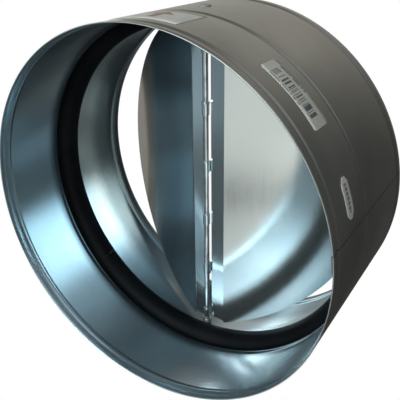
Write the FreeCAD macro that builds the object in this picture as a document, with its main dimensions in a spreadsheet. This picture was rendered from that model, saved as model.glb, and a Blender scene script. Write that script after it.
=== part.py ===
import FreeCAD, Part

import math
import os

import Sketcher

# Backdraft damper for a round 250 mm duct: two half-moon blades on an upright pin in a short tube.
# The origin is on the duct's axis in the plane of the inlet mouth. Air flows along +Y, the pin
# stands along +Z, and +X is to the right for someone who looks into the inlet.
# The blades stand part open, as they rest in the photograph. All lengths are in millimetres.

DIMENSIONS = {
    # Casing tube
    "casing_diameter": 249.0,
    "casing_length": 128.0,
    "casing_sheet": 0.7,
    "end_bead_inset": 7.2,
    "middle_bead_place": 52.9,
    "bead_depth": 1.1,
    "bead_roller_radius": 2.4,
    "lap_width": 10.0,
    "lap_angle": 9.0,
    # Rubber seal, a half-round strip
    "seal_place": 65.3,
    "seal_half_width": 8.5,
    "seal_height": 8.2,
    "seal_seat_gap": 0.1,
    "seal_joint_width": 0.5,
    "seal_joint_angle": -138.4,
    # Pin and its bushes
    "pin_place": 77.0,
    "pin_diameter": 4.0,
    "pin_fit": 0.05,
    "bush_barrel_radius": 3.2,
    "bush_reach": 3.0,
    "bush_head_radius": 4.2,
    "bush_head_height": 0.9,
    "bush_bore_depth": 0.4,
    "bush_slot_depth": 2.4,
    # Blades, in their own frame with the pin at its origin
    "blade_overlap": 4.1,
    "blade_sheet": 0.8,
    "blade_gap_to_seal": 0.3,
    "left_open_angle": 30.0,
    "right_open_angle": 26.5,
    # Hinge leaves
    "leaf_sheet": 0.6,
    "leaf_reach": 13.0,
    "flange_width": 14.0,
    "leaf_trim": 1.2,
    "edge_relief": 3.5,
    "knuckle_fit": 0.08,
    "knuckle_height": 8.0,
    # Springs and what spaces the knuckles on the pin
    "spring_wire": 0.6,
    "spring_pitch": 0.7,
    "spring_turns": 5.0,
    "spring_leg": 13.0,
    "spring_leg_gap": 0.06,
    "end_play": 0.2,
    "washer_thickness": 0.5,
    "washer_radius": 3.2,
    "spacer_length": 12.0,
    "spacer_wall": 0.7,
    "stop_ring_radius": 3.1,
    "stop_ring_thickness": 0.6,
    # Stickers
    "label_film": 0.12,
    "label_glue": 0.04,
    "bar_label_width": 45.0,
    "bar_label_depth": 18.2,
    "bar_label_place": 32.4,
    "bar_label_angle": 47.3,
    "size_label_width": 24.4,
    "size_label_depth": 10.0,
    "size_label_place": 29.9,
    "size_label_angle": 18.3,
    "size_label_chamfer": 3.4,
    "arrow_label_width": 45.0,
    "arrow_label_depth": 32.0,
    "arrow_label_place": 31.0,
    "arrow_label_angle": 91.0,
}

DERIVED = {
    "outer_radius": "casing_diameter / 2",
    "inner_radius": "outer_radius - casing_sheet",
    # A bead is the arc of a roller pressed in from outside; the sheet follows it inside
    "bead_centre_radius": "outer_radius + bead_roller_radius - bead_depth",
    "bead_inner_arc": "bead_roller_radius + casing_sheet",
    "bead_chord_radius": "inner_radius + casing_sheet / 2",
    "bead_chord_half": "sqrt(bead_inner_arc^2 - (bead_centre_radius - bead_chord_radius)^2)",
    "groove_half": "sqrt(bead_roller_radius^2 - (bead_centre_radius - outer_radius)^2)",
    # The seal's profile is a circle through its two feet and its crown
    "seal_seat_radius": "inner_radius - seal_seat_gap",
    "seal_crown_radius": "seal_seat_radius - seal_height",
    "seal_arc": "(seal_half_width^2 + seal_height^2) / (2 * seal_height)",
    "seal_arc_centre": "seal_crown_radius + seal_arc",
    # A closed blade overlaps the seal's crown, and its upstream face stands just behind the flank
    "blade_radius": "seal_crown_radius + blade_overlap",
    "closed_face": "seal_place + sqrt(seal_arc^2 - (seal_arc_centre - blade_radius)^2)"
                   " + blade_gap_to_seal",
    "crank": "pin_place - closed_face",
    "pin_radius": "pin_diameter / 2",
    "knuckle_bore": "pin_radius + knuckle_fit",
    "knuckle_radius": "knuckle_bore + leaf_sheet",
    "bush_end": "inner_radius - bush_reach",
    "bush_bore_end": "outer_radius + bush_bore_depth",
    # The leaf runs from the rear of its knuckle forwards to a flange behind the blade sheet
    "flange_front": "-crank + blade_sheet",
    "flange_rear": "flange_front + leaf_sheet",
    "ramp_slope": "atan2(knuckle_radius - flange_rear; leaf_reach)",
    "spring_mean_radius": "knuckle_radius + spring_leg_gap + spring_wire / 2",
    "spring_length": "spring_turns * spring_pitch + spring_wire",
    "spring_outer_end": "bush_end - end_play",
    "spring_inner_end": "spring_outer_end - spring_length",
    # Knuckles stand at an even pitch between the lower washer and the upper spacer
    "lower_knuckle": "-(spring_inner_end - 2 * end_play - washer_thickness - knuckle_height / 2)",
    "spacer_outer_end": "spring_inner_end - end_play",
    "spacer_inner_end": "spacer_outer_end - spacer_length",
    "upper_knuckle": "spacer_inner_end - 2 * end_play - washer_thickness - knuckle_height / 2",
    "knuckle_pitch": "(upper_knuckle - lower_knuckle) / 5",
}

# The spring's bent leg is drawn a little thinner than its wire, so the two meet cleanly
FIXED_LEG_SHARE = 0.95
# The coil's wire is drawn with eight flats, as its round skin would take most of the part's facets
WIRE_SIDES = 8

document = FreeCAD.newDocument("BackdraftDamper")
sheet = document.addObject("Spreadsheet::Sheet", "Dimensions")


def fill_sheet():
    """Write the driving sizes as plain numbers, then the values worked out from them."""
    row = 1
    for name, size in DIMENSIONS.items():
        sheet.set("A%d" % row, name.replace("_", " "))
        sheet.set("B%d" % row, str(size))
        sheet.setAlias("B%d" % row, name)
        row += 1
    for name, formula in DERIVED.items():
        sheet.set("A%d" % row, name.replace("_", " "))
        sheet.set("B%d" % row, "=" + formula)
        sheet.setAlias("B%d" % row, name)
        row += 1
    document.recompute()


def qualified(expression):
    """Put the sheet's name before each of its aliases in an expression."""
    words = []
    word = ""
    for letter in expression + " ":
        if letter.isalnum() or letter == "_":
            word += letter
            continue
        if word in DIMENSIONS or word in DERIVED:
            word = "Dimensions." + word
        words.append(word + letter)
        word = ""
    return "".join(words).strip()


def value(expression):
    """Give an expression's number."""
    result = sheet.evalExpression(qualified(expression))
    return float(getattr(result, "Value", result))


def bind(feature, setting, expression):
    """Tie one setting of a feature to the sheet."""
    feature.setExpression(setting, qualified(expression))


def new_body(label):
    """Make a body for one piece."""
    body = document.addObject("PartDesign::Body", label)
    body.Label = label
    return body


def origin_feature(body, role):
    """Find a plane or axis of the body's own origin."""
    return next(item for item in body.Origin.OriginFeatures if item.Role == role)


def new_sketch(body, name, plane, offset=None):
    """Attach a sketch to one of the body's origin planes, moved along its normal by offset."""
    sketch = body.newObject("Sketcher::SketchObject", body.Label + "_" + name)
    sketch.AttachmentSupport = [(origin_feature(body, plane), "")]
    sketch.MapMode = "FlatFace"
    if offset is not None:
        bind(sketch, "AttachmentOffset.Base.z", offset)
    return sketch


def place_vertex(sketch, geometry, vertex, across, along):
    """Hold a vertex at two bound distances from the sketch's origin."""
    for kind, expression in (("DistanceX", across), ("DistanceY", along)):
        constraint = Sketcher.Constraint(kind, -1, 1, geometry, vertex, value(expression))
        index = sketch.addConstraint(constraint)
        bind(sketch, "Constraints[%d]" % index, expression)


def arc_through(start, end, radius, side):
    """Make the short arc between two points, with its centre left (+1) or right (-1) of the way."""
    chord = end - start
    middle = (start + end) * 0.5
    across = FreeCAD.Vector(-chord.y, chord.x, 0) * (side / chord.Length)
    centre = middle + across * math.sqrt(radius ** 2 - (chord.Length / 2) ** 2)
    first, last = (start, end) if side > 0 else (end, start)
    angles = [math.atan2(point.y - centre.y, point.x - centre.x) for point in (first, last)]
    if angles[1] < angles[0]:
        angles[1] += 2 * math.pi
    circle = Part.Circle(centre, FreeCAD.Vector(0, 0, 1), radius)
    return Part.ArcOfCircle(circle, angles[0], angles[1])


def outline(sketch, corners, arcs=None):
    """Draw a closed outline through bound corners.

    arcs gives, for the number of the corner where it starts, an arc's radius and its side.
    """
    arcs = arcs or {}
    points = [FreeCAD.Vector(value(u), value(v), 0) for u, v in corners]
    ends = []
    for number, start in enumerate(points):
        end = points[(number + 1) % len(points)]
        if number in arcs:
            radius, side = arcs[number]
            geometry = sketch.addGeometry(arc_through(start, end, value(radius), side), False)
            ends.append((geometry, 1, 2) if side > 0 else (geometry, 2, 1))
        else:
            geometry = sketch.addGeometry(Part.LineSegment(start, end), False)
            ends.append((geometry, 1, 2))
    for number, (geometry, first, last) in enumerate(ends):
        following, next_first, _ = ends[(number + 1) % len(ends)]
        sketch.addConstraint(Sketcher.Constraint("Coincident", geometry, last, following, next_first))
        place_vertex(sketch, geometry, first, *corners[number])
    for number, (radius, _) in arcs.items():
        geometry = ends[number][0]
        index = sketch.addConstraint(Sketcher.Constraint("Radius", geometry, value(radius)))
        bind(sketch, "Constraints[%d]" % index, radius)
    return sketch


def circles(sketch, across, along, radii):
    """Draw bound circles about one centre."""
    centre = FreeCAD.Vector(value(across), value(along), 0)
    for radius in radii:
        circle = Part.Circle(centre, FreeCAD.Vector(0, 0, 1), value(radius))
        geometry = sketch.addGeometry(circle, False)
        place_vertex(sketch, geometry, 3, across, along)
        index = sketch.addConstraint(Sketcher.Constraint("Radius", geometry, value(radius)))
        bind(sketch, "Constraints[%d]" % index, radius)
    return sketch


def revolve(body, sketch, kind="PartDesign::Revolution", angle=None):
    """Turn a profile about the sketch's upright axis."""
    feature = body.newObject(kind, sketch.Name + "_turned")
    feature.Profile = sketch
    feature.ReferenceAxis = (sketch, ["V_Axis"])
    if angle is not None:
        bind(feature, "Angle", angle)
    else:
        feature.Angle = 360
    document.recompute()
    return feature


def pad(body, sketch, length, side="One side", reverse=False):
    """Raise a profile to a bound length."""
    feature = body.newObject("PartDesign::Pad", sketch.Name + "_raised")
    feature.Profile = sketch
    bind(feature, "Length", length)
    feature.SideType = side
    feature.Reversed = reverse
    document.recompute()
    return feature


def pocket(body, sketch, length):
    """Cut a profile to a bound length, half to each side, and make sure that it cut something."""
    before = body.Shape.Volume
    feature = body.newObject("PartDesign::Pocket", sketch.Name + "_cut")
    feature.Profile = sketch
    bind(feature, "Length", length)
    feature.SideType = "Symmetric"
    document.recompute()
    if body.Shape.Volume >= before:
        raise ValueError(sketch.Name + " cuts nothing")
    return feature


def turn_about_pin(body, expression):
    """Set a body on the pin's axis, turned about it by a bound angle."""
    place = FreeCAD.Vector(0, value("pin_place"), 0)
    turn = FreeCAD.Rotation(FreeCAD.Vector(0, 0, 1), value(expression))
    body.Placement = FreeCAD.Placement(place, turn)
    bind(body, "Placement.Base.y", "pin_place * 1 mm")
    bind(body, "Placement.Rotation.Angle", "(" + expression + ") * 1 deg")


def make_casing():
    """Roll the tube, drill it for the bushes, press its three beads and lap its seam."""
    casing = new_body("casing")
    wall = new_sketch(casing, "wall", "XY_Plane")
    outline(wall, [
        ("inner_radius", "0"),
        ("outer_radius", "0"),
        ("outer_radius", "casing_length"),
        ("inner_radius", "casing_length"),
    ])
    revolve(casing, wall)
    holes = new_sketch(casing, "bush_holes", "XY_Plane")
    circles(holes, "0", "pin_place", ["bush_barrel_radius"])
    pocket(casing, holes, "casing_diameter + 2 * bush_reach")
    beads = {
        "front_bead": "end_bead_inset",
        "middle_bead": "middle_bead_place",
        "rear_bead": "casing_length - end_bead_inset",
    }
    for name, place in beads.items():
        ridge = new_sketch(casing, name + "_ridge", "XY_Plane")
        outline(ridge, [
            ("bead_chord_radius", place + " + bead_chord_half"),
            ("bead_chord_radius", place + " - bead_chord_half"),
        ], {0: ("bead_inner_arc", 1)})
        revolve(casing, ridge)
    for name, place in beads.items():
        groove = new_sketch(casing, name + "_groove", "XY_Plane")
        outline(groove, [
            ("outer_radius + bead_depth", place + " + groove_half"),
            ("outer_radius", place + " + groove_half"),
            ("outer_radius", place + " - groove_half"),
            ("outer_radius + bead_depth", place + " - groove_half"),
        ], {1: ("bead_roller_radius", 1)})
        revolve(casing, groove, "PartDesign::Groove")
    lap = new_sketch(casing, "lap", "XZ_Plane")
    ring_sector(lap, "inner_radius - casing_sheet", "inner_radius + casing_sheet / 2",
                "lap_angle - lap_width / inner_radius * 180 / pi", "lap_angle")
    pad(casing, lap, "casing_length", reverse=True)
    return casing


def ring_sector(sketch, inner, outer, start, end):
    """Draw a piece of a ring about the origin, between two angles in degrees."""
    corners = []
    for radius, angle in ((inner, start), (outer, start), (outer, end), (inner, end)):
        corners.append(("(%s) * cos((%s) * 1 deg)" % (radius, angle),
                        "(%s) * sin((%s) * 1 deg)" % (radius, angle)))
    return outline(sketch, corners, {1: (outer, 1), 3: (inner, -1)})


def make_seal_ring():
    """Lay the half-round rubber strip round the wall, with its ends butted."""
    seal = new_body("seal_ring")
    profile = new_sketch(seal, "profile", "XY_Plane")
    outline(profile, [
        ("seal_seat_radius", "seal_place - seal_half_width"),
        ("seal_seat_radius", "seal_place + seal_half_width"),
        ("seal_crown_radius", "seal_place"),
    ], {1: ("seal_arc", 1), 2: ("seal_arc", 1)})
    revolve(seal, profile, angle="360 - seal_joint_width / seal_seat_radius * 180 / pi")
    notch = new_sketch(seal, "lap_notch", "XZ_Plane")
    joint_turn = "(seal_joint_angle)"
    margin = "2 * seal_seat_gap / inner_radius * 180 / pi"
    ring_sector(notch, "inner_radius - casing_sheet - seal_seat_gap", "inner_radius + casing_sheet",
                "lap_angle - lap_width / inner_radius * 180 / pi - " + margin + " - " + joint_turn,
                "lap_angle + " + margin + " - " + joint_turn)
    pocket(seal, notch, "2 * casing_length")
    seal.Placement = FreeCAD.Placement(
        FreeCAD.Vector(), FreeCAD.Rotation(FreeCAD.Vector(0, -1, 0), value("360 + seal_joint_angle")))
    bind(seal, "Placement.Rotation.Angle", "(360 + seal_joint_angle) * 1 deg")
    return seal


def make_pin():
    """Cut the pin to reach both bushes' blind bores, and chamfer its ends."""
    pin = new_body("hinge_pin")
    section = new_sketch(pin, "section", "XY_Plane")
    circles(section, "0", "pin_place", ["pin_radius"])
    shaft = pad(pin, section, "2 * (bush_bore_end - pin_fit)", side="Symmetric")
    ends = [
        "Edge%d" % number
        for number, edge in enumerate(shaft.Shape.Edges, 1)
        if edge.Curve.TypeId == "Part::GeomCircle"
    ]
    chamfer = pin.newObject("PartDesign::Chamfer", "hinge_pin_ends")
    chamfer.Base = (shaft, ends)
    bind(chamfer, "Size", "pin_radius / 4")
    return pin


def make_bush(label, up):
    """Turn a flanged bush with a blind bore and a slot that holds the spring's fixed leg.

    up is +1 for the bush at the top of the casing and -1 for the one at the foot.
    """
    bush = new_body(label)
    profile = new_sketch(bush, "profile", "XZ_Plane")
    outline(profile, [
        ("pin_radius + pin_fit", "bush_end"),
        ("bush_barrel_radius", "bush_end"),
        ("bush_barrel_radius", "outer_radius"),
        ("bush_head_radius", "outer_radius"),
        ("bush_head_radius", "outer_radius + bush_head_height / 2"),
        ("bush_barrel_radius", "outer_radius + bush_head_height"),
        ("0", "outer_radius + bush_head_height"),
        ("0", "bush_bore_end"),
        ("pin_radius + pin_fit", "bush_bore_end"),
    ])
    revolve(bush, profile)
    slot = new_sketch(bush, "slot", "XZ_Plane", "-pin_radius")
    outline(slot, [
        ("-spring_wire / 2 - pin_fit", "bush_end - end_play"),
        ("spring_wire / 2 + pin_fit", "bush_end - end_play"),
        ("spring_wire / 2 + pin_fit", "bush_end + bush_slot_depth"),
        ("-spring_wire / 2 - pin_fit", "bush_end + bush_slot_depth"),
    ])
    before = bush.Shape.Volume
    cut = bush.newObject("PartDesign::Pocket", label + "_slot_cut")
    cut.Profile = slot
    bind(cut, "Length", "bush_barrel_radius")
    document.recompute()
    if bush.Shape.Volume >= before:
        raise ValueError(label + " has no slot")
    over = FreeCAD.Rotation(FreeCAD.Vector(0, 1, 0), 0 if up > 0 else 180)
    bush.Placement = FreeCAD.Placement(FreeCAD.Vector(0, value("pin_place"), 0), over)
    bind(bush, "Placement.Base.y", "pin_place * 1 mm")
    return bush


def make_blade(label, side):
    """Cut one half-moon blade: side is +1 on the right and -1 on the left."""
    blade = new_body(label)
    plan = new_sketch(blade, "plan", "XZ_Plane", "crank")
    half_chord = "sqrt(blade_radius^2 - leaf_reach^2)"
    inner = "%d * leaf_reach" % side
    outline(plan, [
        (inner, "-" + half_chord),
        ("%d * blade_radius" % side, "0"),
        (inner, half_chord),
    ], {0: ("blade_radius", side), 1: ("blade_radius", side)})
    pad(blade, plan, "blade_sheet", reverse=True)
    turn_about_pin(blade, "right_open_angle" if side > 0 else "360 - left_open_angle")
    return blade


def make_leaf(label, side, first_knuckle):
    """Fold one hinge leaf: a flange behind the blade, a ramp, and three knuckles round the pin.

    The knuckles stand at every second pitch, from the one numbered first_knuckle upwards.
    """
    leaf = new_body(label)
    strip = new_sketch(leaf, "strip", "XY_Plane")
    sign = "%d * " % side
    fall = "(knuckle_radius - flange_rear) / leaf_reach"
    relief_rear = "knuckle_radius - edge_relief * " + fall
    skin = "leaf_sheet / cos(ramp_slope)"
    outline(strip, [
        (sign + "edge_relief", relief_rear),
        (sign + "leaf_reach", "flange_rear"),
        (sign + "(leaf_reach + flange_width)", "flange_rear"),
        (sign + "(leaf_reach + flange_width)", "flange_front"),
        (sign + "(leaf_reach - leaf_sheet * tan(ramp_slope / 2))", "flange_front"),
        (sign + "edge_relief", relief_rear + " - " + skin),
    ])
    pad(leaf, strip, "2 * blade_radius", side="Symmetric")
    trim = new_sketch(leaf, "trim", "XZ_Plane")
    circles(trim, "0", "0", ["blade_radius - leaf_trim", "blade_radius * 1.5"])
    pocket(leaf, trim, "blade_radius")
    for number in range(3):
        place = "lower_knuckle + knuckle_pitch * %d - knuckle_height / 2" % (first_knuckle + 2 * number)
        roll = new_sketch(leaf, "roll_%d" % (number + 1), "XY_Plane", place)
        circles(roll, "0", "0", ["knuckle_bore", "knuckle_radius"])
        pad(leaf, roll, "knuckle_height")
        tongue = new_sketch(leaf, "tongue_%d" % (number + 1), "XY_Plane", place)
        lean = "knuckle_bore * sin(ramp_slope)"
        outline(tongue, [
            (sign + "knuckle_radius * sin(ramp_slope)", "knuckle_radius * cos(ramp_slope)"),
            (sign + "(edge_relief + leaf_sheet)", relief_rear + " - leaf_sheet * " + fall),
            (sign + "(edge_relief + leaf_sheet)",
             relief_rear + " - leaf_sheet * " + fall + " - " + skin),
            (sign + lean, "knuckle_bore * cos(ramp_slope)"),
        ])
        pad(leaf, tongue, "knuckle_height")
    turn_about_pin(leaf, "right_open_angle" if side > 0 else "360 - left_open_angle")
    return leaf


def make_sleeve(label, outer, low, length):
    """Turn a ring that sits on the pin from the height low, with the pin's running fit."""
    sleeve = new_body(label)
    section = new_sketch(sleeve, "section", "XY_Plane", low)
    circles(section, "0", "pin_place", ["pin_radius + pin_fit", outer])
    pad(sleeve, section, length)
    return sleeve


def make_label(label, chamfer=None):
    """Lay a sticker on the outer wall, between its own angles and depths."""
    sticker = new_body(label)
    plan = new_sketch(sticker, "plan", "XZ_Plane", "-(%s_place - %s_depth / 2)" % (label, label))
    half = "%s_width / 2 / outer_radius * 180 / pi" % label
    ring_sector(plan, "outer_radius + label_glue", "outer_radius + label_glue + label_film",
                "%s_angle - %s" % (label, half), "%s_angle + %s" % (label, half))
    film = pad(sticker, plan, label + "_depth", reverse=True)
    if chamfer is not None:
        corners = [
            "Edge%d" % number
            for number, edge in enumerate(film.Shape.Edges, 1)
            if edge.Curve.TypeId == "Part::GeomLine" and edge.Length < 2 * value("label_film")
        ]
        cut = sticker.newObject("PartDesign::Chamfer", label + "_corners")
        cut.Base = (film, corners)
        bind(cut, "Size", chamfer)
    return sticker


def make_spring(label, side, open_angle):
    """Wind a torsion spring: one leg along the back of a leaf, the other up into the bush.

    The upper spring serves the right blade; the lower one is the same spring turned over for
    the left blade. A blade that stands further open has its spring wound by as much more.
    """
    mean = value("spring_mean_radius")
    wire_radius = value("spring_wire") / 2
    rise = value("spring_pitch")
    leg_turn = value(open_angle) - value("ramp_slope")
    sweep = 360.0 * value("spring_turns") - leg_turn
    height = sweep / 360.0 * rise
    upright = FreeCAD.Vector(0, 0, 1)
    start = FreeCAD.Vector(mean, 0, 0)
    outward = FreeCAD.Vector(0, -1, -rise / (2 * math.pi * mean)).normalize()
    leg_end = start + outward * value("spring_leg")
    path = Part.Wire([Part.makeLine(leg_end, start)] + Part.makeHelix(rise, height, mean).Edges)
    corners = [
        leg_end + FreeCAD.Rotation(outward, 360.0 * corner / WIRE_SIDES).multVec(
            FreeCAD.Vector(wire_radius, 0, 0))
        for corner in range(WIRE_SIDES + 1)
    ]
    section = Part.makePolygon(corners)
    coil = path.makePipeShell([section], True, False)
    coil_end = FreeCAD.Rotation(upright, sweep).multVec(start) + upright * height
    leg_radius = wire_radius * FIXED_LEG_SHARE
    leg_top = value("spring_length + end_play + bush_slot_depth - pin_fit") - wire_radius
    fixed_leg = Part.makeCylinder(
        leg_radius, leg_top - height + leg_radius, coil_end - upright * leg_radius, upright)
    spring = document.addObject("Part::Feature", label)
    spring.Label = label
    spring.Shape = coil.fuse([fixed_leg])
    over = FreeCAD.Rotation(FreeCAD.Vector(0, 1, 0), 0 if side > 0 else 180)
    seat = FreeCAD.Placement(
        upright * (value("spring_inner_end") + wire_radius),
        FreeCAD.Rotation(upright, 90.0 + leg_turn))
    pin_axis = FreeCAD.Placement(FreeCAD.Vector(0, value("pin_place"), 0), over)
    spring.Placement = pin_axis * seat
    return spring


def make_pieces():
    """Make every piece, in the order in which the damper goes together."""
    left_top = "lower_knuckle + 4 * knuckle_pitch + knuckle_height / 2"
    right_foot = "lower_knuckle + knuckle_pitch - knuckle_height / 2"
    lower_face = "-(spring_inner_end - end_play)"
    return [
        make_casing(),
        make_seal_ring(),
        make_pin(),
        make_bush("upper_bush", 1),
        make_bush("lower_bush", -1),
        make_blade("left_blade", -1),
        make_blade("right_blade", 1),
        make_leaf("left_hinge_leaf", -1, 0),
        make_leaf("right_hinge_leaf", 1, 1),
        make_spring("upper_spring", 1, "right_open_angle"),
        make_spring("lower_spring", -1, "left_open_angle"),
        make_sleeve("upper_washer", "washer_radius",
                    "spacer_inner_end - end_play - washer_thickness", "washer_thickness"),
        make_sleeve("lower_washer", "washer_radius", lower_face, "washer_thickness"),
        make_sleeve("upper_spacer", "pin_radius + pin_fit + spacer_wall",
                    "spacer_inner_end", "spacer_length"),
        make_sleeve("left_stop_ring", "stop_ring_radius", left_top + " + end_play",
                    "stop_ring_thickness"),
        make_sleeve("right_stop_ring", "stop_ring_radius",
                    right_foot + " - end_play - stop_ring_thickness", "stop_ring_thickness"),
        make_label("bar_label"),
        make_label("size_label", "size_label_chamfer"),
        make_label("arrow_label"),
    ]


def check_and_export(pieces):
    """Stop on a failed object or a bad shape, then write one file for each piece."""
    document.recompute()
    for item in document.Objects:
        if "Invalid" in item.State or "Error" in item.State:
            raise ValueError(item.Label + " failed: " + str(item.State))
    for piece in pieces:
        if piece.Shape.isNull() or not piece.Shape.isValid():
            raise ValueError(piece.Label + " has no valid shape")
        if len(piece.Shape.Solids) != 1:
            raise ValueError("%s has %d solids" % (piece.Label, len(piece.Shape.Solids)))
    os.makedirs("parts", exist_ok=True)
    for piece in pieces:
        piece.Shape.exportStep("parts/" + piece.Label + ".step")
        box = piece.Shape.BoundBox
        print("%-18s %10.1f mm3  x %7.2f %7.2f  y %7.2f %7.2f  z %7.2f %7.2f" % (
            piece.Label, piece.Shape.Volume, box.XMin, box.XMax, box.YMin, box.YMax,
            box.ZMin, box.ZMax))


fill_sheet()
check_and_export(make_pieces())
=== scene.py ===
"""Backdraft damper: a short galvanised tube with a rubber seal and two sprung half-moon blades.

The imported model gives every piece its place. This script dresses it: the rolled casing, the seal,
the blades with their cranked hinge leaves, the springs and the stickers, and then the studio.
Everything is in metres, with the air flowing along +Y and the hinge pin along +Z.
"""
import logging
import math
from dataclasses import dataclass
from enum import Enum
from typing import Any, Callable, Iterable, Optional, Sequence, Union

import bmesh
import bpy
from mathutils import Matrix, Vector

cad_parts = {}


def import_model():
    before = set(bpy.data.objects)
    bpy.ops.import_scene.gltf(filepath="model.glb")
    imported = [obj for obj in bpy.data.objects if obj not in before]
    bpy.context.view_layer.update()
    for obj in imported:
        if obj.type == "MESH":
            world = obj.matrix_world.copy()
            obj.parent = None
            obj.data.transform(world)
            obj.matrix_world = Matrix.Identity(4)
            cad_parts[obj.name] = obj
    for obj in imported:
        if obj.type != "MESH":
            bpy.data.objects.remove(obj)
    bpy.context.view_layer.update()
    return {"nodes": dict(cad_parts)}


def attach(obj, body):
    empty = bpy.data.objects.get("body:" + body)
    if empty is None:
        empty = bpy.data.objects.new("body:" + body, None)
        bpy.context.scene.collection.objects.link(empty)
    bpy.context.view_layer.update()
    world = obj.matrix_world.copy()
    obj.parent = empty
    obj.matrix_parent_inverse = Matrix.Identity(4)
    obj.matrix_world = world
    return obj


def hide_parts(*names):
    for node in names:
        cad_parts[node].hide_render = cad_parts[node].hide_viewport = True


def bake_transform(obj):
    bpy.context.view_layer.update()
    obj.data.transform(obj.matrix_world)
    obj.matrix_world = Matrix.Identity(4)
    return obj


log = logging.getLogger("damper")

MM = 0.001
CASING_RADIUS = 124.5 * MM
IMAGE_SIDE = 400
SENSOR_WIDTH = 36.0
NOISE_MIDDLE = 0.5

Point = tuple[float, float]
Point3 = tuple[float, float, float]
Colour = tuple[float, float, float, float]
Settings = dict[str, Any]
SocketName = Union[str, int]
SocketValue = Union["Sock", float, Sequence[float]]
Values = dict[SocketName, Any]


class Side(Enum):
    """Which side of the pin a blade hangs on, as the sign of X."""

    LEFT = -1
    RIGHT = 1

    @property
    def body(self) -> str:
        """Name the body of this side's blade."""
        return "left_blade" if self is Side.LEFT else "right_blade"


# Node trees


class Sock:
    """An output socket that can be used in Python arithmetic."""

    def __init__(self, tree: "Tree", socket: bpy.types.NodeSocket) -> None:
        """Wrap a socket of a tree."""
        self.tree = tree
        self.socket = socket

    def __add__(self, other: SocketValue) -> "Sock":
        """Add."""
        return self.tree.maths("ADD", self, other)

    __radd__ = __add__

    def __sub__(self, other: SocketValue) -> "Sock":
        """Subtract."""
        return self.tree.maths("SUBTRACT", self, other)

    def __rsub__(self, other: SocketValue) -> "Sock":
        """Subtract this socket from something."""
        return self.tree.maths("SUBTRACT", other, self)

    def __mul__(self, other: SocketValue) -> "Sock":
        """Multiply."""
        return self.tree.maths("MULTIPLY", self, other)

    __rmul__ = __mul__

    def __abs__(self) -> "Sock":
        """Give the size without its sign."""
        return self.tree.maths("ABSOLUTE", self)

    def floor(self) -> "Sock":
        """Round down."""
        return self.tree.maths("FLOOR", self)

    def fraction(self) -> "Sock":
        """Give what is left after rounding down."""
        return self.tree.maths("FRACT", self)

    def above(self, edge: SocketValue) -> "Sock":
        """Give 1 where this is over edge, and otherwise 0."""
        return self.tree.maths("GREATER_THAN", self, edge)

    def below(self, edge: SocketValue) -> "Sock":
        """Give 1 where this is under edge, and otherwise 0."""
        return self.tree.maths("LESS_THAN", self, edge)

    def least(self, other: SocketValue) -> "Sock":
        """Give the smaller of two."""
        return self.tree.maths("MINIMUM", self, other)

    def most(self, other: SocketValue) -> "Sock":
        """Give the larger of two."""
        return self.tree.maths("MAXIMUM", self, other)

    def chance(self) -> "Sock":
        """Give each value a fixed random number of its own, between 0 and 1."""
        settings = {"noise_dimensions": "1D"}
        return self.tree.sock("ShaderNodeTexWhiteNoise", "Value", settings, {"W": self})

    def ease(self, low: float, high: float) -> "Sock":
        """Rise smoothly from 0 to 1.

        Args:
            low: the value at which it starts to rise.
            high: the value at which it reaches 1.

        Returns:
            The risen value.
        """
        values = {"Value": self, "From Min": low, "From Max": high}
        return self.tree.sock(
            "ShaderNodeMapRange", "Result", {"interpolation_type": "SMOOTHSTEP"}, values)

    def band(self, centre: float, half: float, soft: float) -> "Sock":
        """Give 1 within half of centre, falling to 0 over soft."""
        return 1.0 - abs(self - centre).ease(half, half + soft)


class Tree:
    """Adds nodes to a node tree and links them."""

    def __init__(self, tree: bpy.types.NodeTree) -> None:
        """Work on a tree."""
        self.tree = tree

    def plug(self, socket: bpy.types.NodeSocket, given: Any) -> None:
        """Link or set an input socket.

        Args:
            socket: the input socket.
            given: a Sock to link, a list of them to link in turn, or a plain value.
        """
        if isinstance(given, list):
            for one in given:
                self.plug(socket, one)
        elif isinstance(given, Sock):
            self.tree.links.new(given.socket, socket)
        else:
            socket.default_value = given

    def node(
        self, kind: str, settings: Optional[Settings] = None, values: Optional[Values] = None
    ) -> bpy.types.Node:
        """Add a node.

        Args:
            kind: the node's type.
            settings: its own settings, such as an operation, which are set first.
            values: values or links for its sockets, by name or number.

        Returns:
            The node.
        """
        made = self.tree.nodes.new(kind)
        for name, setting in (settings or {}).items():
            setattr(made, name, setting)
        for name, given in (values or {}).items():
            self.plug(made.inputs[name], given)
        return made

    def sock(
        self,
        kind: str,
        output: SocketName = 0,
        settings: Optional[Settings] = None,
        values: Optional[Values] = None,
    ) -> Sock:
        """Add a node and wrap one of its outputs."""
        return Sock(self, self.node(kind, settings, values).outputs[output])

    def maths(self, operation: str, *values: SocketValue) -> Sock:
        """Add a Math node."""
        numbered = dict(enumerate(values))
        return self.sock("ShaderNodeMath", settings={"operation": operation}, values=numbered)


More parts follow.
